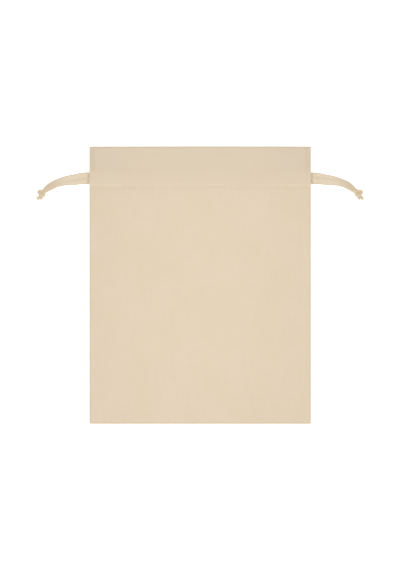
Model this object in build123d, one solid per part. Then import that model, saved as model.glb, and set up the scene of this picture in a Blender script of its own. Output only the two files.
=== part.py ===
from build123d import *
import os
from math import atan2, cos, radians, sin, tan

# Drawstring shoe bag of plain cotton cloth, empty and lying flat on its back panel.
# +X is to the right, +Y is towards the mouth and +Z is up, out of the front panel.
# The origin is the centre of the underside. All sizes are in millimetres.

# Cloth
bag_width = 320.0           # seam to seam
bag_length = 400.0          # bottom seam to the folded top edge
cloth = 0.5                 # one layer
mouth_gap = 5.0             # free height between the two facings
slope_width = 12.0          # over which the front falls to the seam
seam_allowance = 5.0        # turned inwards at every seam
header = 33.5               # folded top edge to the upper stitch row
row_clearance = 3.5         # from the pocket for the tapes to each stitch row
hem = 4.0                   # facing left below the lower stitch row
slot_margin = 0.5           # side slot past each stitch row

# Drawstrings
tape_width = 8.0
tape_thickness = 0.8
slide_clearance = 0.3       # round a tape in its channel
lane_gap = 1.4              # between the two tapes that share a channel
turn_clearance = 0.3        # between the slot's edge and the tape that turns round it
far_length = 40.0           # tape left inside at the far slot when the mouth is drawn shut

# Knots, each with two tails
knot_length = 9.0
knot_width = 9.4
knot_height = 6.0
knot_round = 2.4
tail_length = 5.3           # past the knot
tail_width = 4.0
tail_lift = 0.5             # under the tails
tail_splay = 19.0           # degrees, each side

# Sewing
thread = 0.4                # width of a stitch
stitch_height = 0.2
stitch_length = 2.2
stitch_pitch = 3.0
groove_width = 0.8          # sunk line that a stitch row lies in, under the back
row_margin = 2.0            # from a row's last stitch to the side edge
overlock = 0.3              # thickness of the thread over a raw edge
bartack_length = 5.0
bartack_width = 1.6
bartack_height = 0.3
bartack_inset = 1.0         # from the side edge

# A free end's route: distance out of the slot, and height above the channel's centre line.
# The first two points lie on the end's own lane, and the rest are chosen by hand.
lane_in = 4.0               # start of the route, inside the slot
lane_out = 8.0              # where an end leaves its lane
upper_route = [(21.0, 2.9), (34.0, -1.0), (46.5, -5.6), (58.0, -11.9), (67.8, -20.2)]
lower_route = [(20.5, -4.1), (33.0, -4.4), (45.0, -6.0), (57.5, -11.9), (67.6, -20.3)]
knot_place = (69.6, -21.7)
knot_turn = 42.0            # degrees down from straight out, for the knot
tail_turn = 71.0            # and for the middle of its tails
fall_start = 8.0            # where an end starts to fall to the surface under the bag
front_fall_end = 36.0       # where a front end reaches the end under it
back_fall_end = 18.0        # where a back end reaches the surface

# Places that follow from these
half_width = bag_width / 2
top_edge = bag_length / 2
bottom_edge = -bag_length / 2
upper_row = top_edge - header
pocket_depth = tape_thickness + 2 * slide_clearance
pocket_width = 2 * tape_width + lane_gap + 2 * slide_clearance
lower_row = upper_row - pocket_width - 2 * row_clearance
channel_centre = (upper_row + lower_row) / 2
slot_top = upper_row + slot_margin
slot_bottom = lower_row - slot_margin
channel_depth = 2 * cloth + pocket_depth
bag_height = 2 * channel_depth + mouth_gap
lane_offset = (tape_width + lane_gap) / 2
tape_depth = cloth + pocket_depth / 2
turn_start = half_width + turn_clearance


def block(x, y, z):
    """A box from its limits along each axis."""
    size = Box(abs(x[1] - x[0]), abs(y[1] - y[0]), abs(z[1] - z[0]))
    return Pos(sum(x) / 2, sum(y) / 2, sum(z) / 2) * size


def height(depth, face):
    """Height of a layer that lies at a depth inside the front or the back face."""
    return bag_height - depth if face == "front" else depth


def span(depths, face):
    return tuple(sorted(height(depth, face) for depth in depths))


# Cloth ----------------------------------------------------------------------------------

def slope(layers, base):
    """Outer and inner outline of the front's edge, as distances in from the edge and heights.

    The front's seam allowance rests at the height base, and its cloth has so many layers.
    """
    wall = layers * cloth
    shoulder = base + cloth + wall
    lean = atan2(bag_height - shoulder, slope_width)
    outer = [(0, base), (0, shoulder), (slope_width, bag_height)]
    inner = [(wall, base + cloth), (slope_width + wall * tan(lean / 2), bag_height - wall)]
    return outer, inner


def across(outline, y_low, y_high):
    """The outline on both side edges, run along Y."""
    right = [(half_width - inset, z) for inset, z in outline]
    left = [(-x, z) for x, z in reversed(right)]
    section = Plane((0, y_high, 0), x_dir=(1, 0, 0), z_dir=(0, -1, 0))
    return extrude(section * Polygon(*right, *left, align=None), amount=y_high - y_low)


def upwards(outline, y_high):
    """The outline on the bottom edge, carried on to y_high and run along X."""
    edge = [(bottom_edge + inset, z) for inset, z in outline]
    points = edge + [(y_high, edge[-1][1]), (y_high, edge[0][1])]
    return extrude(Plane.YZ * Polygon(*points, align=None), amount=half_width, both=True)


def front_body():
    """Front cloth from the bottom seam to the slots, open only into the mouth's passage."""
    base = 2 * cloth
    outer, inner = slope(1, base)
    end = slot_bottom - cloth
    passage = half_width - inner[-1][0]
    window = half_width - seam_allowance
    shell = across(outer, bottom_edge, slot_bottom) & upwards(outer, slot_bottom)
    shell -= across(inner, bottom_edge, end) & upwards(inner, end)
    shell -= block((-window, window), (bottom_edge + seam_allowance, end), (base, base + 2 * cloth))
    shell -= block((-passage, passage), (end - hem, slot_bottom), (base, bag_height - cloth))
    return shell


def front_header():
    """Front cloth and its facing above the slots, seamed to the back at both sides."""
    base = 3 * cloth
    wall = 2 * cloth
    outer, inner = slope(2, base)
    start = slot_top + wall
    passage = half_width - inner[-1][0]
    window = half_width - seam_allowance
    shell = across(outer, slot_top, top_edge)
    shell -= across(inner, start, top_edge)
    shell -= block((-window, window), (start, top_edge), (base, base + 2 * cloth))
    shell -= block((-passage, passage), (slot_top, start + wall), (base, bag_height - wall))
    return shell


def channel_tube(face):
    """Cloth and facing of a drawstring channel, pinched together at both stitch rows."""
    pocket_low = channel_centre - pocket_width / 2
    pocket_high = channel_centre + pocket_width / 2
    pinch = 2 * cloth
    outline = [(slot_bottom, 0), (slot_bottom, pinch), (lower_row, pinch)]
    outline += [(pocket_low - cloth, channel_depth), (pocket_high + cloth, channel_depth)]
    outline += [(upper_row, pinch), (slot_top, pinch), (slot_top, 0)]
    section = Polygon(*[(y, height(depth, face)) for y, depth in outline], align=None)
    tube = extrude(Plane.YZ * section, amount=half_width, both=True)
    pocket = span((cloth, cloth + pocket_depth), face)
    return tube - block((-half_width, half_width), (pocket_low, pocket_high), pocket)


def hem_strip(face):
    """Facing below the lower stitch row, clear of the slopes and the seam allowances."""
    reach = half_width - slope_width - seam_allowance
    return block((-reach, reach), (lower_row - hem, slot_bottom), span((cloth, 2 * cloth), face))


def back_layers():
    """Flat back cloth with the facing of its header and the allowances of its seams."""
    width = (-half_width, half_width)
    inside = (seam_allowance - half_width, half_width - seam_allowance)
    layers = block(width, (bottom_edge, top_edge), (0, cloth))
    rim = block(width, (bottom_edge, slot_bottom), (cloth, 2 * cloth))
    rim -= block(inside, (bottom_edge + seam_allowance, slot_bottom), (cloth, 2 * cloth))
    facing = block(width, (slot_top, top_edge), (cloth, 2 * cloth))
    edges = block(width, (slot_top, top_edge), (2 * cloth, 3 * cloth))
    edges -= block(inside, (slot_top, top_edge), (2 * cloth, 3 * cloth))
    return layers + rim + facing + edges


def front_panel():
    return front_body() + front_header() + channel_tube("front") + hem_strip("front")


def back_panel():
    panel = back_layers() + channel_tube("back") + hem_strip("back")
    for row in (upper_row, lower_row):
        line = (row - groove_width / 2, row + groove_width / 2)
        panel -= block((-half_width, half_width), line, (0, stitch_height))
    return panel


# Sewing ---------------------------------------------------------------------------------

def stitch_row(row, face):
    """A row of stitches on the front, or sunk flush in the back's groove."""
    length = bag_width - 2 * row_margin
    count = int((length - stitch_length) / stitch_pitch) + 1
    bottom = bag_height if face == "front" else 0
    stitch = Box(stitch_length, thread, stitch_height)
    first = -(count - 1) * stitch_pitch / 2
    middle = bottom + stitch_height / 2
    return Compound([Pos(first + n * stitch_pitch, row, middle) * stitch for n in range(count)])


def side_thread(side, y_low, y_high, z_low):
    """Overlock thread over the raw edge of both allowances of a side seam."""
    raw_edge = side * (half_width - seam_allowance)
    return block((raw_edge - side * overlock, raw_edge), (y_low, y_high), (z_low, z_low + 2 * cloth))


def bottom_thread():
    raw_edge = bottom_edge + seam_allowance
    reach = half_width - seam_allowance - overlock
    return block((-reach, reach), (raw_edge, raw_edge + overlock), (cloth, 3 * cloth))


def bartack(side, y, layers, base):
    """Dense tack lying on the front's side slope at one end of a slot."""
    outer, inner = slope(layers, base)
    shoulder = outer[1][1]
    lean = atan2(bag_height - shoulder, slope_width)
    along = bartack_inset + bartack_length / 2
    middle = (side * (half_width - along * cos(lean)), y, shoulder + along * sin(lean))
    lie = Plane(middle, x_dir=(-side * cos(lean), 0, sin(lean)), z_dir=(side * sin(lean), 0, cos(lean)))
    return lie * Pos(0, 0, bartack_height / 2) * Box(bartack_length, bartack_width, bartack_height)


# Drawstrings ----------------------------------------------------------------------------

def lane(place):
    return channel_centre + (lane_offset if place == "upper" else -lane_offset)


def tape(x, place, face):
    """A straight length of tape in its lane of the front or the back channel."""
    y = (lane(place) - tape_width / 2, lane(place) + tape_width / 2)
    return block(x, y, span((tape_depth - tape_thickness / 2, tape_depth + tape_thickness / 2), face))


def far_turn(side, front_place, back_place):
    """The middle of a drawstring, round the slot on the side away from its knot."""
    ends = (-side * (half_width - far_length), -side * turn_start)
    bottom = height(tape_depth, "back") - tape_thickness / 2
    top = height(tape_depth, "front") + tape_thickness / 2
    half = tape_width / 2
    low = lane(back_place)
    high = lane(front_place)
    points = [(low - half, bottom), (low + half, bottom), (high + half, top), (high - half, top)]
    section = Plane((-side * turn_start, 0, 0), x_dir=(0, 1, 0), z_dir=(1, 0, 0))
    bend = extrude(section * Polygon(*points, align=None), amount=-side * tape_thickness)
    return tape(ends, front_place, "front") + tape(ends, back_place, "back") + bend


def bend_radii(points):
    """Arc radius at each corner: 0.45 of its shorter run over the tangent of half its turn."""
    radii = []
    for before, corner, after in zip(points, points[1:], points[2:]):
        run_in = Vector(corner[0] - before[0], corner[1] - before[1])
        run_out = Vector(after[0] - corner[0], after[1] - corner[1])
        turn = radians(run_in.get_angle(run_out))
        radii.append(0.45 * min(run_in.length, run_out.length) / tan(turn / 2))
    return radii


def smooth_path(points):
    return FilletPolyline(*points, radius=bend_radii(points))


def free_end(name, side, place, face):
    """Free end of a drawstring: its route seen from above, cut to its fall seen from the front."""
    start = lane(place) - channel_centre
    route = [(-lane_in, start), (lane_out, start)] + (upper_route if place == "upper" else lower_route)
    points = [(side * (half_width + out), channel_centre + up) for out, up in route]
    path = smooth_path(points)
    reach = side * (half_width + route[-1][0] + tape_width)
    landing = tape_thickness * (1.5 if face == "front" else 0.5)
    fall_end = front_fall_end if face == "front" else back_fall_end
    exit_height = height(tape_depth, face)
    fall = [(side * half_width, exit_height), (side * (half_width + fall_start), exit_height)]
    fall += [(side * (half_width + fall_end), landing), (reach, landing)]
    from_above = extrude(trace(path, line_width=tape_width), amount=bag_height)
    from_front = trace(smooth_path(fall), line_width=tape_thickness)
    from_front = extrude(Plane.XZ * from_front, amount=top_edge * 2, both=True)
    end = from_above & from_front
    length = path.length - lane_in
    print(name, "plan radii", [round(radius) for radius in bend_radii(points)],
          "length", round(length, 1), "section times length", round(length * tape_width * tape_thickness),
          "volume", round(end.volume))
    return end


def heading(side, turn):
    """Angle about Z of a direction turned down from straight out of a side's slot."""
    return -turn if side > 0 else 180 + turn


def knot(side):
    """Overhand knot and its two tails, lying on the surface under the bag."""
    middle = (side * (half_width + knot_place[0]), channel_centre + knot_place[1])
    block_shape = Box(knot_length, knot_width, knot_height)
    rounded = Pos(0, 0, knot_height / 2) * fillet(block_shape.edges(), knot_round)
    body = Rot(0, 0, heading(side, knot_turn)) * rounded
    reach = (0, knot_length / 2 + tail_length)
    tail = block(reach, (-tail_width / 2, tail_width / 2), (tail_lift, tail_lift + tape_thickness))
    for splay in (-tail_splay, tail_splay):
        body += Rot(0, 0, heading(side, tail_turn + splay)) * tail
    return Pos(middle[0], middle[1], 0) * body


# Nodes ----------------------------------------------------------------------------------

nodes = {"front_panel": front_panel(), "back_panel": back_panel(), "bottom_seam_thread": bottom_thread()}

for face in ("front", "back"):
    nodes[face + "_upper_stitches"] = stitch_row(upper_row, face)
    nodes[face + "_lower_stitches"] = stitch_row(lower_row, face)

# The left string has the upper lane in front and the lower lane behind, and the right string
# has the other two, so that each one's turn passes between the other one's ends.
sides = {"left": (-1, "upper", "lower"), "right": (1, "lower", "upper")}
for name, (side, front_place, back_place) in sides.items():
    body_start = bottom_edge + seam_allowance
    nodes[name + "_side_seam_thread"] = side_thread(side, body_start, slot_bottom - cloth, cloth)
    nodes[name + "_header_seam_thread"] = side_thread(side, slot_top + 2 * cloth, top_edge, 2 * cloth)
    nodes[name + "_upper_bartack"] = bartack(side, slot_top + bartack_width / 2, 2, 3 * cloth)
    nodes[name + "_lower_bartack"] = bartack(side, slot_bottom - bartack_width / 2, 1, 2 * cloth)
    run = (side * half_width, -side * (half_width - far_length))
    nodes[name + "_front_run"] = tape(run, front_place, "front")
    nodes[name + "_back_run"] = tape(run, back_place, "back")
    nodes[name + "_far_turn"] = far_turn(side, front_place, back_place)
    nodes[name + "_front_end"] = free_end(name + " front end", side, front_place, "front")
    nodes[name + "_back_end"] = free_end(name + " back end", side, back_place, "back")
    nodes[name + "_knot"] = knot(side)

os.makedirs("parts", exist_ok=True)
for name, shape in nodes.items():
    export_step(shape, "parts/" + name + ".step")
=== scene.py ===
import bisect
import math

import bmesh
import bpy
from mathutils import Matrix, Vector, noise


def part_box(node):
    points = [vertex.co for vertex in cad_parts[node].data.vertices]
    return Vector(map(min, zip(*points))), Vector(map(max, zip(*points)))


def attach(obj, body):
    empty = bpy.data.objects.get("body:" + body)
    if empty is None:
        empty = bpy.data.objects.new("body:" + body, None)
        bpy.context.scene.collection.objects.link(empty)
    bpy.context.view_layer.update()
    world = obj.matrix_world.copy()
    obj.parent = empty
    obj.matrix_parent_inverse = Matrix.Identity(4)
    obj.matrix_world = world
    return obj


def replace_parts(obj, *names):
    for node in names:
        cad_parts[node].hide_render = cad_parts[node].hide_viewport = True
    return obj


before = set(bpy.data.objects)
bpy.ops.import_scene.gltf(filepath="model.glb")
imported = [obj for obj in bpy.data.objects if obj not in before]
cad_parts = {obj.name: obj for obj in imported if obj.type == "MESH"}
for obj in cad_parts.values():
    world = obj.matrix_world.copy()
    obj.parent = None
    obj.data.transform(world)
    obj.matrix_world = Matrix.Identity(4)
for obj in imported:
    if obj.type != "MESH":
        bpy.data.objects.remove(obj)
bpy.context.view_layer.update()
mm = 0.001
up = Vector((0, 0, 1))
sides = {"left": -1, "right": 1}


def middleOf(node):
    low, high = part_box(node)
    return (low + high) / 2


# Places that the sewing and the tapes line up with
panelLow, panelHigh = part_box("front_panel")
halfWidth, topEdge, bottomEdge = panelHigh.x, panelHigh.y, panelLow.y
upperRow = middleOf("front_upper_stitches").y
lowerRow = middleOf("front_lower_stitches").y
channelMiddle = (upperRow + lowerRow) / 2
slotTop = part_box("left_upper_bartack")[0].y
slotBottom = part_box("left_lower_bartack")[1].y
slotHalf = (slotTop - slotBottom) / 2
frontRunLow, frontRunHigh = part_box("left_front_run")
upperLane = middleOf("left_front_run").y
lowerLane = middleOf("right_front_run").y
laneOffset = (upperLane - lowerLane) / 2
tapeWidth = frontRunHigh.y - frontRunLow.y
farEnd = frontRunHigh.x          # where a run meets the tape that stays at the far slot
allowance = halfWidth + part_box("left_side_seam_thread")[0].x


def ease(x):
    x = min(1.0, max(0.0, x))
    return x * x * (3 - 2 * x)


def mix(a, b, share):
    return a + (b - a) * share


def bell(away, width):
    return math.exp(-(away / width) ** 2)


cameraPlan = {
    "lens": 100,                # long, so the outline stays square
    "sensor": 36,
    "fieldHeight": 822.5 * mm,  # what the long side of the frame takes in
    "centre": (-0.2 * mm, 0.3 * mm),
}


def makeCamera():
    data = bpy.data.cameras.new("camera")
    data.lens = cameraPlan["lens"]
    data.sensor_width = cameraPlan["sensor"]
    camera = bpy.data.objects.new("camera", data)
    height = cameraPlan["fieldHeight"] * data.lens / data.sensor_width
    camera.location = (*cameraPlan["centre"], height)
    bpy.context.scene.collection.objects.link(camera)
    bpy.context.scene.camera = camera


def linear(hexColour):
    parts = [int(hexColour[i:i + 2], 16) / 255 for i in (1, 3, 5)]
    return [p / 12.92 if p <= 0.04045 else ((p + 0.055) / 1.055) ** 2.4 for p in parts] + [1]


def addNode(tree, kind, inputs=None, output=0, **settings):
    # one node with its settings; inputs are values or other nodes' outputs
    node = tree.nodes.new(kind)
    for key, value in settings.items():
        setattr(node, key, value)
    for key, value in (inputs or {}).items():
        if isinstance(value, bpy.types.NodeSocket):
            tree.links.new(value, node.inputs[key])
        else:
            node.inputs[key].default_value = value
    return node.outputs[output]


def worked(tree, operation, *values):
    return addNode(tree, "ShaderNodeMath", dict(enumerate(values)), operation=operation)


def shareOf(tree, value, low, high, least, most):
    # a value from low to high, brought to between the least and the most
    return addNode(tree, "ShaderNodeMapRange", {"Value": value, "From Min": low, "From Max": high,
                                                "To Min": least, "To Max": most})


def tinted(tree, look, tints):
    # the look's own colour with its other colours laid over it, each by its share
    colour = linear(look["colour"])
    for share, tint in tints:
        colour = addNode(tree, "ShaderNodeMix",
                         {0: share, 6: colour, 7: linear(look[tint])}, 2, data_type="RGBA")
    return colour


def startMaterial(name, look):
    material = bpy.data.materials.new(name)
    material.use_nodes = True
    tree = material.node_tree
    shader = tree.nodes["Principled BSDF"]
    shader.inputs["Roughness"].default_value = look["roughness"]
    shader.inputs["Sheen Weight"].default_value = look["sheen"]
    shader.inputs["Sheen Roughness"].default_value = 0.5
    shader.inputs["Specular IOR Level"].default_value = 0.25
    return material, tree, shader


clothLook = {
    "roughness": 0.92,
    "sheen": 0.1,
    "colour": "#E7D7BF",          # unbleached cotton
    "deepToneAndHollowShadeColour": "#DDCAAE",      # darker tone of the slubs and clouds, and painted shade in the hollows between yarns
    "layersShadeColour": "#DDCEBA",   # painted shade over the header and channel, standing in for less light coming through where more layers lie behind it
    "foldShadeColour": "#C9B89C",      # painted shade along the folded edges and in the header's side grooves
    "seedColour": "#B59A75",      # bits of cotton seed left in the yarn
    "yarn": 1.1 * mm,             # real yarns are 0.5 mm apart, drawn coarser to show
    "slubLength": 30 * mm,
    "slubWidth": 1.8 * mm,
    "cloud": 70 * mm,             # size of the soft changes of tone
    "seedSpacing": 42 * mm,
    "seedSize": 0.8 * mm,
    "cloudShare": 0.25,           # how much of that darker colour each of these brings in
    "yarnShare": 0.3,
    "slubShares": (0.1, 0.4),
    "seedShare": 0.8,
    "lumps": 0.8,                 # how much the slubs stand up, against the yarns
    "bump": 0.12 * mm,
    "bumpStrength": 0.42,
}


def unbleachedCottonCloth():
    # Cotton, plain woven and left unbleached: a warm matt cream, slightly streaky, never shiny
    look = clothLook
    material, tree, shader = startMaterial("unbleachedCottonPlainWeave", look)
    place = addNode(tree, "ShaderNodeUVMap", uv_map="flat")
    apart = addNode(tree, "ShaderNodeSeparateXYZ", {0: place}).node
    waves = []
    for axis in (0, 1):
        turn = worked(tree, "MULTIPLY", apart.outputs[axis], math.pi / look["yarn"])
        waves.append(worked(tree, "SINE", turn))
    humps = [worked(tree, "ABSOLUTE", wave) for wave in waves]
    over = worked(tree, "MULTIPLY", *waves)
    pick = worked(tree, "GREATER_THAN", over, 0.0)
    weave = addNode(tree, "ShaderNodeMix", {0: pick, 2: humps[0], 3: humps[1]})
    streaks = []
    for scale in ((1 / look["slubLength"], 1 / look["slubWidth"], 1),
                  (1 / look["slubWidth"], 1 / look["slubLength"], 1)):
        laid = addNode(tree, "ShaderNodeMapping", {"Vector": place, "Scale": scale})
        streaks.append(addNode(tree, "ShaderNodeTexNoise",
                               {"Vector": laid, "Scale": 1.0, "Detail": 2.0}))
    slubs = worked(tree, "ADD", *streaks)
    clouds = addNode(tree, "ShaderNodeTexNoise",
                     {"Vector": place, "Scale": 1 / look["cloud"], "Detail": 3.0})
    seeds = addNode(tree, "ShaderNodeTexVoronoi", {"Vector": place, "Scale": 1 / look["seedSpacing"]})
    seed = shareOf(tree, seeds, look["seedSize"] / look["seedSpacing"], 0.0, 0.0, look["seedShare"])
    # painted shade where more layers lie behind the cloth
    layersAndPaintedShade = addNode(tree, "ShaderNodeAttribute", output="Fac", attribute_name="layersAndPaintedShade")
    # painted shade along the folded edges and in the grooves
    foldAndGrooveShade = addNode(tree, "ShaderNodeAttribute", output="Fac", attribute_name="foldAndGrooveShade")
    slub = shareOf(tree, slubs, 0.7, 1.3, *look["slubShares"])
    # painted shade in the hollows between yarns
    yarn = shareOf(tree, weave, 0.0, 1.0, look["yarnShare"], 0.0)
    cloud = shareOf(tree, clouds, 0.35, 0.65, 0.0, look["cloudShare"])
    colour = tinted(tree, look, [(layersAndPaintedShade, "layersShadeColour"), (slub, "deepToneAndHollowShadeColour"),
                                 (yarn, "deepToneAndHollowShadeColour"), (cloud, "deepToneAndHollowShadeColour"),
                                 (foldAndGrooveShade, "foldShadeColour"), (seed, "seedColour")])
    tree.links.new(colour, shader.inputs["Base Color"])
    relief = worked(tree, "ADD", weave, worked(tree, "MULTIPLY", slubs, look["lumps"]))
    bump = addNode(tree, "ShaderNodeBump", {"Height": relief, "Distance": look["bump"],
                                            "Strength": look["bumpStrength"]})
    tree.links.new(bump, shader.inputs["Normal"])
    return material


tapeLook = {
    "roughness": 0.88,
    "sheen": 0.12,
    "colour": "#F1E2CB",
    # painted shade in the hollows between the ribs, and the darker tone of the streaks
    "hollowShadeAndStreakColour": "#E0CEB0",
    "tapeEdgeShadeColour": "#B9AB93",    # painted shade on the bound edges, where they curl away from the light
    "tapeShadeColour": "#CFBB9D",  # painted shade: in the creases towards the knot, the slot's shadow, and the curled outer edge
    "rib": 1.0 * mm,            # lengthwise cords of the weave
    "pick": 1.4 * mm,           # crosswise yarns, drawn twice as coarse as real to show
    "selvedge": 1.2 * mm,
    "picked": 0.28,             # how much the crosswise yarns show against the cords
    "hollowShadeShare": 0.55,
    "streakShare": 0.45,
    "tapeEdgeShadeShare": 0.25,
    "streaks": (900, 40, 1),    # per metre across and along: streaks as fine as single yarns
    "bump": 0.15 * mm,
    "bumpStrength": 0.7,
}


def unbleachedCottonTape():
    # Cotton tape, woven narrow with bound edges: creamy, ribbed along its length, matt
    look = tapeLook
    material, tree, shader = startMaterial("unbleachedCottonWovenTape", look)
    place = addNode(tree, "ShaderNodeUVMap", uv_map="flat")
    apart = addNode(tree, "ShaderNodeSeparateXYZ", {0: place}).node
    turns = [worked(tree, "MULTIPLY", apart.outputs[axis], math.tau / look[size])
             for axis, size in ((0, "rib"), (0, "pick"), (1, "pick"))]
    rib = worked(tree, "COSINE", turns[0])
    pick = worked(tree, "SINE", worked(tree, "ADD", turns[1], turns[2]))
    relief = addNode(tree, "ShaderNodeMix", {0: look["picked"], 2: rib, 3: pick})
    # painted shade in the hollows between the ribs
    hollowShade = shareOf(tree, relief, -1.0, 1.0, look["hollowShadeShare"], 0.0)
    laid = addNode(tree, "ShaderNodeMapping", {"Vector": place, "Scale": look["streaks"]})
    streak = addNode(tree, "ShaderNodeTexNoise", {"Vector": laid, "Scale": 1.0, "Detail": 2.0})
    streaked = shareOf(tree, streak, 0.35, 0.7, 0.0, look["streakShare"])
    out = worked(tree, "ABSOLUTE", apart.outputs[0])
    # painted shade on the bound edges
    edge = shareOf(tree, out, tapeWidth / 2 - look["selvedge"], tapeWidth / 2, 0.0, look["tapeEdgeShadeShare"])
    # painted shade towards the knot, at the slot and on the outer edge
    paintedTapeShade = addNode(tree, "ShaderNodeAttribute", output="Fac", attribute_name="paintedTapeShade")
    colour = tinted(tree, look, [(hollowShade, "hollowShadeAndStreakColour"), (streaked, "hollowShadeAndStreakColour"),
                                 (paintedTapeShade, "tapeShadeColour"), (edge, "tapeEdgeShadeColour")])
    tree.links.new(colour, shader.inputs["Base Color"])
    bump = addNode(tree, "ShaderNodeBump", {"Height": relief, "Distance": look["bump"],
                                            "Strength": look["bumpStrength"]})
    tree.links.new(bump, shader.inputs["Normal"])
    return material


threadLook = {
    "roughness": 0.7,
    "sheen": 0.2,
    "colour": "#EADCC5",
    "shadeColour": "#D3C2A4",
    "twist": 1.0 * mm,          # one turn of the ply, drawn twice as coarse as real to show
    "bump": 0.06 * mm,
}


def spunCottonThread():
    # Cotton sewing thread, spun and twisted: a touch brighter than the cloth on top, dark in the twist
    look = threadLook
    material, tree, shader = startMaterial("spunCottonThread", look)
    place = addNode(tree, "ShaderNodeTexCoord", output="Object")
    bands = math.tau / look["twist"] / 20       # the wave node counts twenty to a full turn
    twist = addNode(tree, "ShaderNodeTexWave", {"Vector": place, "Scale": bands, "Distortion": 1.0},
                    output="Fac", wave_type="BANDS", bands_direction="DIAGONAL")
    colour = addNode(tree, "ShaderNodeMix",
                     {0: twist, 6: linear(look["shadeColour"]), 7: linear(look["colour"])},
                     2, data_type="RGBA")
    tree.links.new(colour, shader.inputs["Base Color"])
    bump = addNode(tree, "ShaderNodeBump", {"Height": twist, "Distance": look["bump"]})
    tree.links.new(bump, shader.inputs["Normal"])
    return material


def meshFrom(bm, name):
    mesh = bpy.data.meshes.new(name)
    bm.to_mesh(mesh)
    bm.free()
    return mesh


sharpAngle = math.radians(50)     # a fold sharper than this shows as a crease


def makePiece(name, bm, material, body, thickness=None):
    piece = bpy.data.objects.new(name, meshFrom(bm, name))
    bpy.context.scene.collection.objects.link(piece)
    if thickness:
        shell = piece.modifiers.new("thickness", "SOLIDIFY")
        shell.thickness = thickness
        shell.offset = 0
        evaluated = piece.evaluated_get(bpy.context.evaluated_depsgraph_get())
        solid = bpy.data.meshes.new_from_object(evaluated)
        piece.modifiers.clear()
        piece.data = solid
    piece.data.name = name
    piece.data.materials.clear()
    piece.data.materials.append(material)
    for face in piece.data.polygons:
        face.use_smooth = True
    piece.data.set_sharp_from_angle(angle=sharpAngle)
    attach(piece, body)
    return piece


def spaced(*stops):
    # places from stop to stop in mm, about a given step apart
    places = [stops[0][0]]
    for (start, step), (end, _) in zip(stops, stops[1:]):
        count = max(1, round((end - start) / step))
        places += [start + (end - start) * (i + 1) / count for i in range(count)]
    return [place * mm for place in places]


def flatCloth(columns, rows):
    # a grid with its columns and rows moved to given places, and a flat UV map in metres
    bm = bmesh.new()
    bmesh.ops.create_grid(bm, x_segments=len(columns) - 1, y_segments=len(rows) - 1, size=0.5)
    for vert in bm.verts:
        column = round((vert.co.x + 0.5) * (len(columns) - 1))
        row = round((vert.co.y + 0.5) * (len(rows) - 1))
        vert.co = (columns[column], rows[row], 0)
    flat = bm.loops.layers.uv.new("flat")
    for face in bm.faces:
        for loop in face.loops:
            loop[flat].uv = loop.vert.co.xy
    return bm


# How a route's points become a smooth line
routeOrder = 3
routeSteps = 14


def routeLine(points):
    curve = bpy.data.curves.new("route", "CURVE")
    curve.dimensions = "3D"
    spline = curve.splines.new("NURBS")
    spline.points.add(len(points) - 1)
    for point, place in zip(spline.points, points):
        point.co = (*place, 1)
    spline.order_u = routeOrder
    spline.use_endpoint_u = True
    spline.resolution_u = routeSteps
    route = bpy.data.objects.new("route", curve)
    line = bpy.data.meshes.new_from_object(route)
    places = [vertex.co.copy() for vertex in line.vertices]
    bpy.data.objects.remove(route)
    bpy.data.meshes.remove(line)
    return places


def alongLine(line):
    # the line's length, and a function that gives the place and heading at a distance along it
    reached = [0.0]
    for a, b in zip(line, line[1:]):
        reached.append(reached[-1] + (b - a).length)

    def at(distance):
        i = min(max(bisect.bisect_right(reached, distance) - 1, 0), len(line) - 2)
        share = (distance - reached[i]) / (reached[i + 1] - reached[i])
        start = (line[i + 1] - line[max(i - 1, 0)]).normalized()
        end = (line[min(i + 2, len(line) - 1)] - line[i]).normalized()
        return line[i].lerp(line[i + 1], share), start.lerp(end, share).normalized()

    return reached[-1], at


tapeShape = {
    "thickness": 0.6 * mm,
    "columns": 28,
    "rowStep": 0.8 * mm,
    "crease": 0.30,           # radians that a lengthwise crease leans
    "creaseWidth": 2.6 * mm,
    "outerCurl": 1.75,        # radians from the middle to the outer edge, doubled
    "innerCurl": 0.7,
    "curlStart": 9 * mm,      # from the slot to where the edges are fully curled
    "rolled": 5.4,            # radians across the inner tape where it goes into the knot
    "nest": 0.68 * mm,        # between the inner and the outer tape where they roll up together
    "rollStart": 53 * mm,
    "rollLength": 24 * mm,
    "spreadOut": 1.09,        # a free tape lies a little wider than where it is pressed in its channel
    "knotShadeStart": 28 * mm,  # from the slot to where painted shade of the creases towards the knot starts
    "knotShadeLength": 36 * mm,
    "knotShadeMost": 0.62,
    "slotShadow": 0.85,           # how dark the slot's shadow is painted on it
    "outerEdgeShade": 0.6,        # and the painted shade on its outer edge
    "edgeWidth": 1.8 * mm,
    "clearance": 0.02 * mm,   # of a tape's underside over the table
    "creaseDrift": 1.2,       # how far the creases wander, in radians
    "pressed": 0.3,           # how much of its crease a tape keeps in the channel
    "curlInSlot": 0.35,       # and of its curl where it leaves the slot
    # where the slot's painted shadow lies on the tape, and its width
    "slotShadowBand": (1.2 * mm, 1.4 * mm),
}


def crossSection(width, columns, lean):
    # points across a ribbon, walked out from its middle so that its width stays true
    step = width / columns
    half = columns // 2
    points = {0: (0.0, 0.0)}
    for way in (1, -1):
        u = v = 0.0
        for i in range(half):
            angle = lean(way * (i + 0.5) * step)
            u += way * step * math.cos(angle)
            v -= way * step * math.sin(angle)
            points[way * (i + 1)] = (u, v)
    return points


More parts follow.
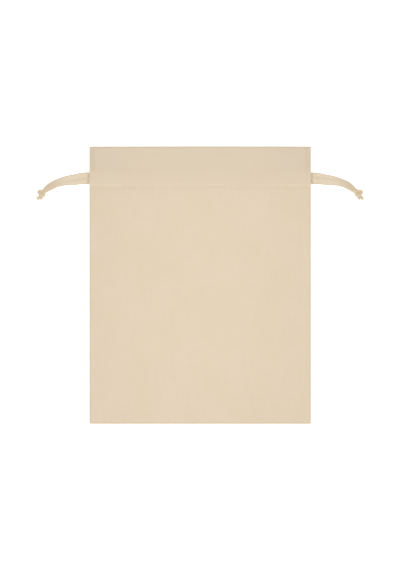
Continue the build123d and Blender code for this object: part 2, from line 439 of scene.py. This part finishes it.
def layRibbon(line, width, leanAt, across=None, taper=None, columns=None, rowStep=None):
    length, at = alongLine(line)
    columns = columns or tapeShape["columns"]
    rows = max(3, round(length / (rowStep or tapeShape["rowStep"])))
    bm = flatCloth([width * (i / columns - 0.5) for i in range(columns + 1)],
                   [length * i / rows for i in range(rows + 1)])
    sections = {}
    for vert in bm.verts:
        row = round(vert.co.y / length * rows)
        if row not in sections:
            distance = length * row / rows
            place, forward = at(distance)
            if across:      # a ribbon that drifts sideways keeps its rows square to its lane
                forward = forward - across * forward.dot(across)
            side = across or up.cross(forward)
            normal = forward.cross(side)
            side, normal = side.normalized(), normal.normalized()
            wide = width * (taper(distance / length) if taper else 1)
            section = crossSection(wide, columns,
                                   lambda s, d=distance, w=wide: leanAt(d, s * width / w))
            sections[row] = (place, side, normal, section)
        place, side, normal, section = sections[row]
        u, v = section[round(vert.co.x / width * columns)]
        vert.co = place + side * u + normal * v
        vert.co.z = max(vert.co.z, tapeShape["thickness"] / 2 + tapeShape["clearance"])
    bmesh.ops.recalc_face_normals(bm, faces=bm.faces)
    return bm


# Each free end's route: out of the slot and up from the channel's middle, in mm, then its height.
# It drops from the slot and lies on what is under it, and the two of a side gather towards the knot.
freeEnds = {
    "upperRoute": [(1.8, 4.45), (3.4, 4.5), (9.0, 4.45), (20.0, 1.8), (31.5, -0.1),
                   (43.0, -4.0), (54.5, -9.2), (62.8, -15.0), (67.0, -20.8)],
    "lowerRoute": [(1.8, -4.3), (3.4, -4.0), (9.0, -3.9), (20.0, -5.2), (31.5, -5.6),
                   (43.0, -6.9), (54.0, -11.6), (62.0, -17.0), (66.6, -21.6)],
    "frontHeights": [2.9, 2.7, 1.9, 2.0, 2.3, 2.3, 2.4, 2.8, 3.8, 4.9],
    "backHeights": [0.95, 0.95, 1.0, 1.4, 1.5, 1.5, 1.6, 2.0, 3.0, 4.0],
}


def freeEndPoints(side, lane, face):
    route = freeEnds["upperRoute"] if lane > channelMiddle else freeEnds["lowerRoute"]
    places = [(halfWidth, lane)]
    places += [(halfWidth + out * mm, channelMiddle + rise * mm) for out, rise in route]
    return [(side * x, y, z * mm) for (x, y), z in zip(places, freeEnds[face + "Heights"])]


def endLean(face, phase):
    # how a free end's cross-section leans: creased, edges curled, then rolled up towards the knot
    shape = tapeShape
    outward = -1 if face == "front" else 1

    def lean(distance, s):
        t = 2 * s / tapeWidth
        loose = ease(distance / shape["curlStart"])
        rolled = ease((distance - shape["rollStart"]) / shape["rollLength"])
        curl = shape["outerCurl"] if t * outward > 0 else shape["innerCurl"]
        edge = math.copysign(abs(t) ** 3, t) * curl * 0.5 * mix(shape["curlInSlot"], 1, loose)
        roll = shape["rolled"]
        if face == "front":
            roll = tapeWidth / (tapeWidth / roll + shape["nest"])
        drift = phase + shape["creaseDrift"] * noise.noise(Vector((distance * 55, phase, 0)))
        fade = 0.5 + 0.5 * noise.noise(Vector((distance * 40, s * 300, phase)))
        wave = math.sin(math.tau * s / shape["creaseWidth"] + drift)
        crease = shape["crease"] * mix(shape["pressed"], 1, loose) * fade * wave
        return mix(edge, roll * t * 0.5, rolled) + crease * (1 - 0.4 * rolled)

    return lean


def makeTape(name, bm, body, nodes, material):
    piece = makePiece(name, bm, material, body, tapeShape["thickness"])
    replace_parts(piece, *nodes)
    return piece


def paintTapeShade(bm, shareAt):
    # paints shade onto a tape, by the distance along and across it
    paintedTapeShade = bm.verts.layers.float.new("paintedTapeShade")
    flat = bm.loops.layers.uv["flat"]
    for vert in bm.verts:
        if vert.link_loops:
            across, along = vert.link_loops[0][flat].uv
            vert[paintedTapeShade] = shareAt(along, across)


def tapeShadeAt(face):
    shape = tapeShape
    outward = -1 if face == "front" else 1
    shadowPlace, shadowWidth = shape["slotShadowBand"]

    def share(along, across):
        # painted shade of the creases towards the knot
        creaseShade = shape["knotShadeMost"] * ease((along - shape["knotShadeStart"]) / shape["knotShadeLength"])
        # painted shadow where the tape leaves the slot
        slot = shape["slotShadow"] * bell(along - shadowPlace, shadowWidth)
        # painted shade on the curled outer edge
        edge = shape["outerEdgeShade"] * ease((across * outward - tapeWidth / 2) / shape["edgeWidth"] + 1)
        return max(creaseShade, slot, edge)

    return share


def spreadFromSlot(share):
    # a free end starts as wide as it lies in the channel
    return mix(1 / tapeShape["spreadOut"], 1.0, ease(share * 10))


def makeFreeEnds(material):
    ends = {}
    for name, side in sides.items():
        for face, lane in (("front", upperLane), ("back", lowerLane)):
            if name == "right":
                lane = upperLane + lowerLane - lane
            line = routeLine(freeEndPoints(side, lane, face))
            bm = layRibbon(line, tapeWidth * tapeShape["spreadOut"],
                           endLean(face, side * 1.3 + len(face)), taper=spreadFromSlot)
            paintTapeShade(bm, tapeShadeAt(face))
            piece = makeTape(name + face.capitalize() + "Tape", bm, name + "_drawstring",
                             [f"{name}_{face}_end"], material)
            ends[name, face] = (piece, line)
    return ends


def flatLean(distance, s):
    wave = math.sin(math.tau * s / tapeShape["creaseWidth"])
    return tapeShape["pressed"] * tapeShape["crease"] * wave


def makeRuns(material):
    for name, side in sides.items():
        for face in ("front", "back"):
            node = f"{name}_{face}_run"
            lane = middleOf(node).y
            z = freeEnds[face + "Heights"][0] * mm
            start, end = Vector((side * halfWidth, lane, z)), Vector((-side * farEnd, lane, z))
            bm = layRibbon([start, end], tapeWidth, flatLean)
            makeTape(name + face.capitalize() + "Run", bm, name + "_drawstring", [node], material)


farTurn = {
    "bulge": 0.8 * mm,      # how far the tape loops out past the edge of the cloth
    "lead": 3.5 * mm,       # from the edge in to where it starts to turn
    "straight": 20 * mm,
    "columns": 14,
    "rowStep": 0.35 * mm,
}


def makeFarTurns(material):
    # each string comes back round the far slot, from its front run to its back run
    for name, side in sides.items():
        frontLane = middleOf(name + "_front_run").y
        backLane = middleOf(name + "_back_run").y
        frontZ, backZ = freeEnds["frontHeights"][0] * mm, freeEnds["backHeights"][0] * mm
        lead, straight = halfWidth - farTurn["lead"], halfWidth - farTurn["straight"]
        bulge = halfWidth + farTurn["bulge"]
        points = [(farEnd, frontLane, frontZ), (straight, frontLane, frontZ),
                  (lead, frontLane, frontZ), (bulge, mix(frontLane, backLane, 0.1), frontZ),
                  (bulge, mix(frontLane, backLane, 0.9), backZ), (lead, backLane, backZ),
                  (straight, backLane, backZ), (farEnd, backLane, backZ)]
        line = routeLine([(-side * x, y, z) for x, y, z in points])
        bm = layRibbon(line, tapeWidth, flatLean, across=Vector((0, 1, 0)),
                       columns=farTurn["columns"], rowStep=farTurn["rowStep"])
        makeTape(name + "FarTurn", bm, "bag", [name + "_far_turn"], material)


makeCamera()
tape = unbleachedCottonTape()
thread = spunCottonThread()
cloth = unbleachedCottonCloth()
ends = makeFreeEnds(tape)
makeRuns(tape)
makeFarTurns(tape)
print("tapes done")


knotShape = {
    "reach": 1.4 * mm,         # a third of the way from the middle to an outer turn
    "lift": 1.7 * mm,          # half the height between strands that cross
    "strand": 2.2 * mm,        # radius of the two tapes rolled together
    "spread": 1.15,            # how much wider than long it lies
    "gap": 0.04,               # radians left open where the strand comes in and goes out
    "ribs": 6,                 # creases round the strand
    "ribDepth": 0.10,
    "ribTwist": 260,           # radians per metre that they wind round it
    "around": 24,
    "rowStep": 0.7 * mm,
    "drawnIn": 2 * mm,         # length over which each end narrows to half
    "strandWide": 1.1,         # the strand lies a little flat
    "strandHigh": 0.92,
    "steps": 80,
    "place": (67.8, -21.1),    # out of the slot and up from the channel's middle, in mm
    "turn": 130,               # degrees down from straight out
    "waist": 7.1 * mm,         # from the knot's middle to where the tails spread
    "waistTurn": 57,
    "tailTurn": 94,
    "tailSplay": 56,
    "tailLength": 4.2 * mm,
    "tailWidth": 5.0 * mm,
    "tailColumns": 18,
    "tailNarrow": 0.85,        # of its width, where it leaves the knot
    "tailCurl": (3.2, 0.9),    # radians across it, at the knot and at its tip
    "tailCrease": 0.5,
    "tailCreaseWidth": 1.9 * mm,
    "heights": {"inside": 3 * mm, "waist": 1.9 * mm, "outer": 0.9 * mm, "inner": 1.5 * mm},
    "paintedTapeShade": 0.6,            # how much shade is painted over the creased knot
    # painted shade over the tails
    "tailShade": 0.55,
    "tailOpens": 0.35,         # of its length, from where it opens out
    "frays": 14,
    "frayLength": 1.2 * mm,
    "frayWidth": 0.22 * mm,
    "frayReach": 0.85,         # of the tail's width
    "frayFan": 0.7,            # how much the outer ones lean out
    "frayStray": 0.5,          # and each one by chance
    "frayDroop": 1.2 * mm,
}


def headingOf(side, degreesDown):
    angle = math.radians(degreesDown)
    return Vector((side * math.cos(angle), -math.sin(angle), 0))


def layRope(line, radius):
    # a closed, creased strand along a line, drawn in at both ends
    shape = knotShape
    length, at = alongLine(line)
    around, rows = shape["around"], round(length / shape["rowStep"])
    bm = flatCloth([tapeWidth * (i / around - 0.5) for i in range(around + 1)],
                   [length * i / rows for i in range(rows + 1)])
    for vert in bm.verts:
        distance = vert.co.y
        place, forward = at(distance)
        side = up.cross(forward).normalized()
        normal = forward.cross(side)
        angle = vert.co.x / tapeWidth * math.tau
        twist = angle * shape["ribs"] + distance * shape["ribTwist"]
        drawn = (ease(distance / shape["drawnIn"]) + ease((length - distance) / shape["drawnIn"])) / 2
        reach = radius * drawn * (1 - shape["ribDepth"] * (1 - abs(math.sin(twist / 2))))
        vert.co = (place + side * reach * shape["strandWide"] * math.sin(angle)
                   + normal * reach * shape["strandHigh"] * math.cos(angle))
        vert.co.z = max(vert.co.z, 0.05 * mm)
    bmesh.ops.remove_doubles(bm, verts=bm.verts, dist=1e-6)
    bmesh.ops.holes_fill(bm, edges=[edge for edge in bm.edges if edge.is_boundary])
    bmesh.ops.recalc_face_normals(bm, faces=bm.faces)
    return bm


def addStitch(bm, place, direction, normal, length, width):
    # one stitch or fibre: a small lens of thread lying along the cloth
    direction = (direction - normal * direction.dot(normal)).normalized()
    turn = Matrix((direction, normal.cross(direction), normal)).transposed().to_4x4()
    size = Matrix.Diagonal((length, width, width, 1))
    bmesh.ops.create_uvsphere(bm, u_segments=6, v_segments=6, radius=0.5,
                              matrix=Matrix.Translation(place) @ turn @ size)


def makeKnot(name, side, material):
    # an overhand knot tied in both tapes, with their two frayed tails
    shape = knotShape
    body = name + "_drawstring"
    out, rise = shape["place"]
    centre = Vector((side * (halfWidth + out * mm), channelMiddle + rise * mm,
                     shape["lift"] + shape["strand"]))
    forward = headingOf(side, shape["turn"])
    lateral = up.cross(forward) * side
    line = []
    first, last = math.pi + shape["gap"], 3 * math.pi - shape["gap"]
    for i in range(shape["steps"] + 1):
        t = mix(first, last, i / shape["steps"])
        onward = (math.sin(t) + 2 * math.sin(2 * t)) * shape["reach"]
        sideways = (math.cos(t) - 2 * math.cos(2 * t)) * shape["reach"]
        place = forward * onward + lateral * sideways
        place.x *= shape["spread"]
        line.append(centre + place - up * math.sin(3 * t) * shape["lift"])
    bm = layRope(line, shape["strand"])
    # painted shade over the knot
    paintTapeShade(bm, lambda along, across: shape["paintedTapeShade"])
    knot = makePiece(name + "Knot", bm, material, body)
    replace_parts(knot, name + "_knot")
    pieces = [knot]
    waist = centre + headingOf(side, shape["waistTurn"]) * shape["waist"]
    waist.z = shape["heights"]["waist"]
    frays = bmesh.new()
    for label, splay in (("Outer", -1), ("Inner", 1)):
        forward = headingOf(side, shape["tailTurn"] + splay * shape["tailSplay"])
        tip = waist + forward * shape["tailLength"]
        tip.z = shape["heights"][label.lower()]
        inside = centre.lerp(waist, 0.25)
        inside.z = shape["heights"]["inside"]
        line = routeLine([inside, waist, tip])
        length = alongLine(line)[0]

        def lean(distance, s, length=length, splay=splay):
            opened = ease((distance / length - shape["tailOpens"]) / (1 - shape["tailOpens"]))
            wave = math.sin(math.tau * s / shape["tailCreaseWidth"] + splay)
            curl = mix(*shape["tailCurl"], opened)
            return curl * s / shape["tailWidth"] + shape["tailCrease"] * opened * wave

        bm = layRibbon(line, shape["tailWidth"], lean, columns=shape["tailColumns"],
                       taper=lambda share: mix(shape["tailNarrow"], 1.0, ease(share)))
        # painted shade over the tail
        paintTapeShade(bm, lambda along, across: shape["tailShade"])
        pieces.append(makePiece(f"{name}{label}Tail", bm, material, body,
                                tapeShape["thickness"]))
        for i in range(shape["frays"]):
            across = (i + 0.5) / shape["frays"] - 0.5
            stray = shape["frayStray"] * noise.noise(Vector((i * 0.73, splay * 3.1, side)))
            onward = (forward + up.cross(forward) * (across * shape["frayFan"] + stray)).normalized()
            start = tip + up.cross(forward) * across * shape["tailWidth"] * shape["frayReach"]
            start += onward * shape["frayLength"] * 0.3
            start.z = max(tip.z - abs(across) * shape["frayDroop"], 0.2 * mm)
            addStitch(frays, start, onward, up, shape["frayLength"] * (1 + stray),
                      shape["frayWidth"])
    pieces.append(makePiece(name + "Fray", frays, material, body))
    return pieces


for name, side in sides.items():
    knotPieces = makeKnot(name, side, tape)
    for face in ("front", "back"):
        piece, line = ends[name, face]
        alongLine(line)[0]
print("knots done")


clothShape = {
    "thickness": 0.5 * mm,
    "fold": 0.3 * mm,             # radius of a pressed fold
    "hem": 4 * mm,                # facing below the lower stitch row
    "seamTop": 2.5 * mm,          # height of the front's middle along a side or bottom seam
    "headerTop": 3.1 * mm,        # the same above the slots, where the facings lie in between
    "roll": 0.75 * mm,            # how far the cloth rolls down to its edge
    "rollWidth": 3.0 * mm,
    "mouthRoll": 1.6,             # how much tighter the mouth's edge rolls
    "step": 0.46 * mm,            # down off the seam allowance, which shows as a ridge
    "stepLead": 0.3 * mm,
    "stepWidth": 1.4 * mm,
    "bodyCrown": 8.3 * mm,
    "channelCrown": 6.9 * mm,
    "mouthCrown": 5.2 * mm,
    "rise": 125 * mm,             # from a seam in to the full crown
    "crownChange": (70 * mm, 90 * mm),  # from how far under the lower row, and over what length
    "tapeTent": 5.1 * mm,         # the front's height over its tapes
    "tentBlend": 0.8 * mm,        # rounds the line where that leaves the rest of the cloth
    "frontPocket": 2.15 * mm,     # the front facing's height under them
    "backPocket": 1.55 * mm,      # the back facing's height over the back tapes
    "turned": 0.4 * mm,           # what turning the bag right side out takes up at each seam
    "lip": 0.2 * mm,              # how far the front bulges out over the tapes in the slot
    "lipWidth": 6 * mm,
    "tentInset": 0.2 * mm,        # from the ends of a slot in to the tent, and to the pockets
    "pocketInset": 0.4 * mm,
    "facingEase": (2 * mm, 4 * mm),  # over which a facing steps off an allowance, and off the mouth
    "upperPinch": 0.06 * mm,      # how deep a stitch row pulls the cloth in
    "lowerPinch": 0.28 * mm,
    "ridgeAbove": 0.16 * mm,
    "ridge": (4 * mm, 2.2 * mm),  # how far above the lower row it lies, and its width
    "rowFade": 4 * mm,            # the rows pull less this near a side
    "groove": 0.45 * mm,          # the header's side seam
    "grooves": (4.0 * mm, 6.9 * mm),
    "grooveWidth": 0.75 * mm,
    "upperRowWidth": 1.2 * mm,
    "lowerRowWidth": 1.3 * mm,
    "tentRipple": (11 * mm, 0.08 * mm),  # length and height of the waves along the channel
    "puckerFolds": 5,
    "puckers": 0.16 * mm,
    "puckerReach": 8 * mm,
    "puckerWidth": 7 * mm,
    "backLift": 0.12 * mm,
}
foldEdge = halfWidth - clothShape["thickness"] / 2 - clothShape["turned"]
topFold = topEdge - clothShape["thickness"] / 2
bottomFold = bottomEdge + clothShape["thickness"] / 2


def overTapes(y, reach):
    flatTop = laneOffset + tapeWidth / 2 + 0.1 * mm
    return ease((reach - abs(y - channelMiddle)) / (reach - flatTop))


def seamDistance(x, y):
    inSlot = max(0.0, min(y - slotBottom, slotTop - y))
    return math.hypot(max(0.0, halfWidth - abs(x)), inSlot)


def puff(distance):
    share = min(1.0, max(0.0, (distance - allowance) / clothShape["rise"]))
    return 1 - (1 - share) ** 2


def crownAt(y):
    shape = clothShape
    below, length = shape["crownChange"]
    towardsChannel = ease((y - lowerRow + below) / length)
    crown = mix(shape["bodyCrown"], shape["channelCrown"], towardsChannel)
    return mix(crown, shape["mouthCrown"], ease((y - upperRow) / (topEdge - upperRow)))


# Broad, lengthwise and crosswise waves: how many per metre across and along, a seed, the height
wrinkles = [(7, 6, 3.1, 0.7 * mm), (30, 8, 7.7, 0.16 * mm), (9, 26, 1.3, 0.14 * mm)]


def wrinkle(x, y):
    return sum(noise.noise(Vector((x * across, y * along, seed))) * height
               for across, along, seed, height in wrinkles)


def headerShare(y):
    # the header's own marks start just above the slot
    return ease((y - slotTop) / (2 * mm))


def slotPuckers(x, y):
    # short folds that fan out from the ends of the slots
    total = 0.0
    for corner in (slotTop, slotBottom):
        away = Vector((halfWidth - 4 * mm - abs(x), y - corner))
        fan = math.sin(clothShape["puckerFolds"] * math.atan2(away.y, away.x + 3 * mm) + 1.2)
        total += fan * bell(away.length - clothShape["puckerReach"], clothShape["puckerWidth"])
    return total * clothShape["puckers"]


def rowPinch(y):
    shape = clothShape
    pinch = bell(y - upperRow, shape["upperRowWidth"]) * shape["upperPinch"]
    pinch += bell(y - lowerRow, shape["lowerRowWidth"]) * shape["lowerPinch"]
    ridge, ridgeWidth = shape["ridge"]
    return pinch - bell(y - lowerRow - ridge, ridgeWidth) * shape["ridgeAbove"]


def frontHeight(x, y):
    shape = clothShape
    side = seamDistance(x, y)
    toBottom = y - bottomEdge
    inHeader = ease((y - slotBottom) / (slotTop - slotBottom))
    height = mix(shape["seamTop"], shape["headerTop"], inHeader)
    base = height
    rounded = puff(side) * puff(toBottom)
    height += (crownAt(y) - height) * rounded
    height += (wrinkle(x, y) + slotPuckers(x, y)) * min(1.0, rounded * 4)
    for distance in (side, toBottom, (topEdge - y) * shape["mouthRoll"]):
        height -= shape["roll"] * max(0.0, 1 - distance / shape["rollWidth"]) ** 2
    inward = min(side, toBottom) - allowance + shape["stepLead"]
    height -= shape["step"] * ease(inward / shape["stepWidth"])
    for place in shape["grooves"]:
        height -= shape["groove"] * bell(side - place, shape["grooveWidth"]) * headerShare(y)
    tent = mix(base - shape["roll"], shape["tapeTent"], overTapes(y, slotHalf - shape["tentInset"]))
    rippleLength, rippleHeight = shape["tentRipple"]
    ripple = math.sin(x / rippleLength * math.tau + 2 * noise.noise(Vector((x * 12, 0, 0))))
    over = overTapes(y, slotHalf)
    tent += rippleHeight * (1 + ripple) * over
    apart = math.sqrt((height - tent) ** 2 + shape["tentBlend"] ** 2 * over)
    height = (height + tent + apart) / 2
    return height - rowPinch(y) * min(1.0, side / shape["rowFade"])


def foldBack(distance, edge):
    # how far out a point of the flat cloth lies once it is folded, and how deep below the top
    radius = clothShape["fold"]
    before = edge - radius
    if distance <= before:
        return distance, 0.0
    angle = (distance - before) / radius
    if angle < math.pi:
        return before + radius * math.sin(angle), radius * (1 - math.cos(angle))
    return before - (distance - before - math.pi * radius), 2 * radius


def foldPlace(across, along):
    x, depth = foldBack(abs(across), foldEdge)
    if along < 0:
        y, endDepth = foldBack(-along, -bottomFold)
        y = -y
    else:
        y, endDepth = foldBack(along, topFold)
    return math.copysign(x, across), y, depth, endDepth, along > 0 and endDepth > clothShape["fold"]


def facingLayer(x, y, along):
    # a facing lies clear of the seam allowance near a side
    beside, below = clothShape["facingEase"]
    near = ease((allowance + beside - seamDistance(x, y)) / beside)
    return 2 * clothShape["fold"] * near * ease((along - topFold - beside) / below)


def layFront(across, along):
    shape = clothShape
    x, y, depth, endDepth, facing = foldPlace(across, along)
    height = frontHeight(x, y) - depth - endDepth
    if facing:
        height -= facingLayer(x, y, along)
        inPocket = overTapes(y, slotHalf - shape["pocketInset"])
        height = mix(height, min(height, shape["frontPocket"]), inPocket)
    nearEdge = ease((abs(x) - halfWidth + shape["lipWidth"]) / shape["lipWidth"])
    out = shape["lip"] * overTapes(y, slotHalf) * nearEdge
    return Vector((x + math.copysign(out, x), y, height))


def layBack(across, along):
    shape = clothShape
    x, y, depth, endDepth, facing = foldPlace(across, along)
    waves = 1 + noise.noise(Vector((x * 14, y * 14, 5.5)))
    lift = shape["backLift"] * waves * ease(seamDistance(x, y) / (20 * mm))
    height = shape["thickness"] / 2 + lift + depth + endDepth
    if facing:
        height += facingLayer(x, y, along)
        inPocket = overTapes(y, slotHalf - shape["pocketInset"])
        height = mix(height, shape["backPocket"], inPocket)
    return Vector((x, y, height))


def layersShadeAt(along):
    # painted shade by how much cloth lies behind the front: header, channel, the strip under the
    # tapes, hem; the dip just above the lower row paints a lighter line, a highlight
    if along > upperRow:
        return 1.0
    shares = [(lowerRow - clothShape["hem"] - mm, 0.0), (lowerRow - clothShape["hem"], 0.45),
              (lowerRow + mm, 0.4), (lowerRow + 3 * mm, 0.15), (lowerRow + 6 * mm, 0.45),
              (lowerRow + 9 * mm, 0.8), (upperRow, 1.0)]
    if along <= shares[0][0]:
        return 0.0
    for (low, before), (high, after) in zip(shares, shares[1:]):
        if along <= high:
            return mix(before, after, (along - low) / (high - low))
    return 1.0


# Where the flat cloth's grid changes its step, and the step from there, in mm: fine at folds and rows
panelGrid = {
    "columns": [(0, 3.2), (148, 0.75), (158.7, 0.4), (159.45, 0.19), (160.4, 0.9), (164.95, None)],
    "rows": [(-204.95, 0.9), (-200.4, 0.19), (-199.45, 0.4), (-198.7, 0.75), (-188, 3.2),
             (130, 1.6), (137, 0.75), (148, 1.4), (163, 0.8), (170, 2.2), (194, 1.0),
             (199.45, 0.19), (200.4, 1.2), (208, 2.4), (229, 1.2), (252, 1.0), (262.3, None)],
}


panelShade = {
    "middle": 0.62,        # the header's painted shade is lighter in the middle of the bag than near its sides, where the light falls off
    "edge": 0.55,          # painted shade along the folded edges
    "softEdgeShade": 0.1,       # less of that painted shade along the bottom and inside the slots
    "edgeWidth": 4.2 * mm,
    "sideWidth": 90 * mm,
    # painted shade in the header's side grooves
    "groove": 0.25,
    "grooveWidth": 0.9 * mm,
}


def makePanel(name, lay, node, material):
    halfColumns = spaced(*panelGrid["columns"])
    columns = [-place for place in reversed(halfColumns[1:])] + halfColumns
    rows = spaced(*panelGrid["rows"])
    bm = flatCloth(columns, rows)
    trimmed = [face for face in bm.faces if face.calc_center_median().y > topEdge + mm
               and abs(face.calc_center_median().x) > halfWidth - mm]
    bmesh.ops.delete(bm, geom=trimmed, context="FACES")
    shade = panelShade
    layersAndPaintedShade = bm.verts.layers.float.new("layersAndPaintedShade")
    foldAndGrooveShade = bm.verts.layers.float.new("foldAndGrooveShade")
    for vert in bm.verts:
        across, along = vert.co.xy
        fromEdge = min(abs(abs(across) - halfWidth), abs(along - bottomEdge),
                       abs(along - topEdge))
        inSlot = slotBottom < along < slotTop and abs(across) > halfWidth - 4 * mm
        sideways = halfWidth - abs(across)
        header = headerShare(along)
        groove = max(bell(sideways - place, shade["grooveWidth"]) for place in clothShape["grooves"])
        nearSide = 1 - ease(sideways / shade["sideWidth"])
        # painted shade over the layers, darker in the header near the sides
        vert[layersAndPaintedShade] = layersShadeAt(along) * mix(shade["middle"], 1, nearSide * header)
        # painted shade along the folded edges and in the header's side grooves
        edge = shade["softEdgeShade"] if inSlot or along < bottomEdge + 2 * mm else shade["edge"]
        edge *= ease(1 - fromEdge / shade["edgeWidth"])
        vert[foldAndGrooveShade] = max(edge, shade["groove"] * groove * header)
        vert.co = lay(across, along)
    bmesh.ops.recalc_face_normals(bm, faces=bm.faces)
    piece = makePiece(name, bm, material, "bag", clothShape["thickness"])
    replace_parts(piece, node)


makePanel("backPanel", layBack, "back_panel", cloth)
makePanel("frontPanel", layFront, "front_panel", cloth)
print("cloth done")


sewing = {
    "stitch": 2.5 * mm,
    "pitch": 3.0 * mm,
    "thread": 0.42 * mm,
    "overlockPitch": 2.4 * mm,
    "overlockReach": 2.6 * mm,
    "overlockThread": 0.28 * mm,
    "overlockSlant": 0.35,
    "tackStrokes": 15,
    "tackLength": 5 * mm,
    "tackWidth": 1.8 * mm,
    "tackThread": 0.36 * mm,
    "tackLean": 0.18,      # slant of its strokes, back and forth
    "tackInset": 0.8 * mm,
}


def frontNormal(x, y):
    step = 0.5 * mm
    alongX = Vector((2 * step, 0, frontHeight(x + step, y) - frontHeight(x - step, y)))
    alongY = Vector((0, 2 * step, frontHeight(x, y + step) - frontHeight(x, y - step)))
    return alongX.cross(alongY).normalized()


def finishSewing(bm, name, node):
    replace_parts(makePiece(name, bm, thread, "bag"), node)


def makeRows():
    for face in ("front", "back"):
        for place, row in (("upper", upperRow), ("lower", lowerRow)):
            node = f"{face}_{place}_stitches"
            low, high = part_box(node)
            count = int((high.x - low.x) / sewing["pitch"]) + 1
            bm = bmesh.new()
            for i in range(count):
                x = (i - (count - 1) / 2) * sewing["pitch"]
                normal, z = -up, sewing["thread"] / 2
                if face == "front":
                    normal = frontNormal(x, row)
                    z = frontHeight(x, row) + clothShape["thickness"] / 2
                addStitch(bm, Vector((x, row, z)), Vector((1, 0, 0)), normal,
                          sewing["stitch"], sewing["thread"])
            finishSewing(bm, face + place.capitalize() + "Stitches", node)


def makeOverlock(name, node, start, end, inward, bottom):
    # slanted threads over the raw edges of the allowances, inside the bag
    bm = bmesh.new()
    forward = (end - start).normalized()
    height = 2 * clothShape["thickness"] + 2 * clothShape["fold"]
    reach = sewing["overlockReach"]
    for i in range(int((end - start).length / sewing["overlockPitch"])):
        place = start + forward * (i + 0.5) * sewing["overlockPitch"]
        slanted = (inward + forward * sewing["overlockSlant"]).normalized()
        addStitch(bm, place - inward * reach / 2 + up * (bottom + height / 2), slanted, up, reach,
                  sewing["overlockThread"])
        addStitch(bm, place + inward * 0.12 * mm + up * bottom, up, inward, height,
                  sewing["overlockThread"])
    finishSewing(bm, name, node)


def makeSeams():
    middle = clothShape["seamTop"] / 2
    inset = halfWidth - allowance
    low = bottomEdge + allowance
    for name, side in sides.items():
        inward = Vector((-side, 0, 0))
        makeOverlock(name + "SideSeamThread", name + "_side_seam_thread",
                     Vector((side * inset, low, 0)),
                     Vector((side * inset, slotBottom - mm, 0)), inward, middle)
        makeOverlock(name + "HeaderSeamThread", name + "_header_seam_thread",
                     Vector((side * inset, slotTop + 2 * mm, 0)),
                     Vector((side * inset, topEdge - mm, 0)), inward, middle + 0.3 * mm)
    makeOverlock("bottomSeamThread", "bottom_seam_thread", Vector((-inset, low, 0)),
                 Vector((inset, low, 0)), Vector((0, 1, 0)), middle)


def makeBartacks():
    for name, side in sides.items():
        for place, y, away in (("upper", slotTop, 1), ("lower", slotBottom, -1)):
            bm = bmesh.new()
            y += away * sewing["tackWidth"] * 0.4
            for i in range(sewing["tackStrokes"]):
                inFromEdge = (i + 0.5) / sewing["tackStrokes"] * sewing["tackLength"]
                x = side * (halfWidth - sewing["tackInset"] - inFromEdge)
                z = frontHeight(x, y) + clothShape["thickness"] / 2 + 0.05 * mm
                lean = sewing["tackLean"] if i % 2 else -sewing["tackLean"]
                addStitch(bm, Vector((x, y, z)), Vector((lean, 1, 0)), frontNormal(x, y),
                          sewing["tackWidth"], sewing["tackThread"])
            finishSewing(bm, f"{name}{place.capitalize()}Bartack", f"{name}_{place}_bartack")


makeRows()
makeSeams()
makeBartacks()
print("sewing done")


stagePlan = {
    "paper": "#F2F2F2",
    "roughness": 0.9,
    "sheen": 0.0,
    "floorGlow": 0.5,
    "wallGlow": 1.0,
    "floorRadius": 8.0,
    "wallHeight": 1.6,
    "worldStrength": 0.42,
    "overheadPower": 6.6,
    "overheadSize": (0.9, 1.5),
    "overheadHeight": 0.85,
    "overheadShift": -0.018,
    "facets": 64,
    "gap": 0.02 * mm,       # the floor lies this far under the bag
}


def whitePaper(name, glow):
    # Matt white paper under soft light, overexposed so that it stays white to the edges
    material, tree, shader = startMaterial(name, stagePlan)
    shader.inputs["Base Color"].default_value = linear(stagePlan["paper"])
    shader.inputs["Emission Color"].default_value = (1, 1, 1, 1)
    shader.inputs["Emission Strength"].default_value = glow
    return material


def makeStage():
    radius = stagePlan["floorRadius"]
    floorMesh = bmesh.new()
    facets = stagePlan["facets"]
    bmesh.ops.create_circle(floorMesh, cap_ends=True, segments=facets, radius=radius,
                            matrix=Matrix.Translation((0, 0, -stagePlan["gap"])))
    wallMesh = bmesh.new()
    bmesh.ops.create_circle(wallMesh, cap_ends=False, segments=facets, radius=radius)
    raised = bmesh.ops.extrude_edge_only(wallMesh, edges=wallMesh.edges[:])["geom"]
    rim = [item for item in raised if isinstance(item, bmesh.types.BMVert)]
    bmesh.ops.translate(wallMesh, verts=rim, vec=(0, 0, stagePlan["wallHeight"]))
    for name, bm, glow in (("floor", floorMesh, "floorGlow"), ("wall", wallMesh, "wallGlow")):
        paper = bpy.data.objects.new(name, meshFrom(bm, name))
        paper.data.materials.append(whitePaper(name + "Paper", stagePlan[glow]))
        bpy.context.scene.collection.objects.link(paper)
    world = bpy.data.worlds.new("softbox")
    bpy.context.scene.world = world
    world.use_nodes = True
    sky = world.node_tree.nodes["Background"]
    sky.inputs["Color"].default_value = (1, 1, 1, 1)
    sky.inputs["Strength"].default_value = stagePlan["worldStrength"]
    light = bpy.data.lights.new("overhead", "AREA")
    light.shape = "RECTANGLE"
    light.size, light.size_y = stagePlan["overheadSize"]
    light.energy = stagePlan["overheadPower"]
    lamp = bpy.data.objects.new("overhead", light)
    lamp.location = (0, stagePlan["overheadShift"], stagePlan["overheadHeight"])
    bpy.context.scene.collection.objects.link(lamp)
    bpy.context.scene.view_settings.view_transform = "Standard"


makeStage()
print("stage done")
